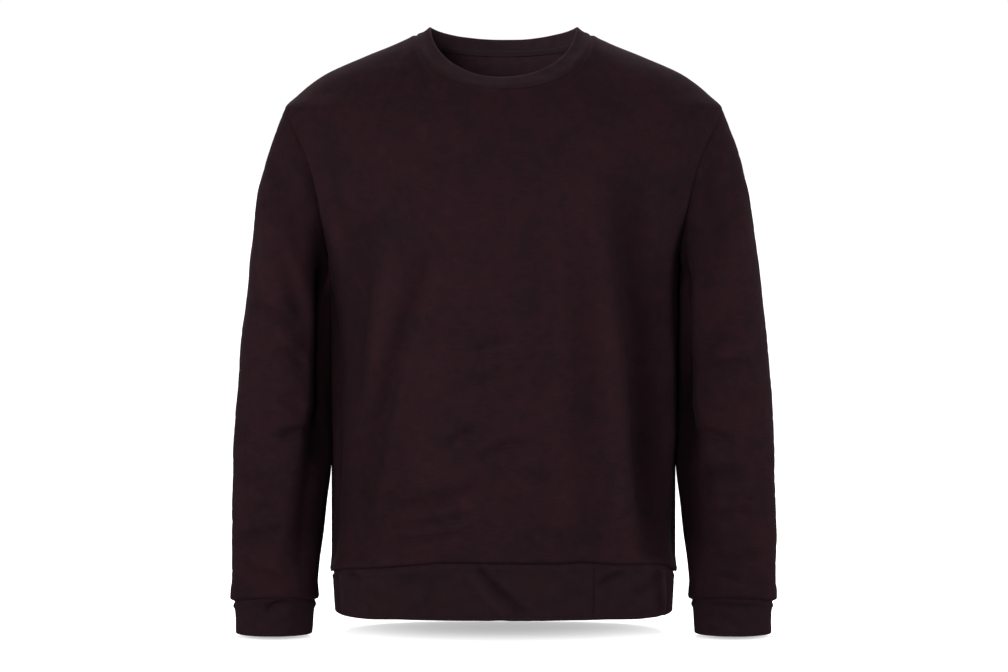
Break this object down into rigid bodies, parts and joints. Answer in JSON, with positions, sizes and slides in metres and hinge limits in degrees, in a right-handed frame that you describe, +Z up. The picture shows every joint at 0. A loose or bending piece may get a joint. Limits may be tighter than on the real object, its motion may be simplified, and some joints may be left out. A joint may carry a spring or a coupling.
{
  "type": "crewneck sweatshirt",
  "caption": "Long-sleeved pullover of fleece with set-in sleeves and ribbed neckband, cuffs and hem band, filled out as worn and open at the neck, hem and cuffs.",
  "frame": {"origin": "middle of the line between the two neck points, where the shoulders of a wearer hold the garment up", "axes": "+Z up, the front faces -Y, +X is the wearer's left"},
  "size_m": [0.6534, 0.2324, 0.7272],
  "materials": {
    "fleece": "matt brushed sweatshirt fleece, very dark burgundy",
    "rib": "matt fine rib knit, very dark burgundy"
  },
  "bodies": {
    "root": {"front": "fleece", "back": "fleece", "sleeve_left": "fleece", "sleeve_right": "fleece", "neckband": "rib", "cuff_left": "rib", "cuff_right": "rib", "hem_band": "rib"}
  },
  "joints": []
}
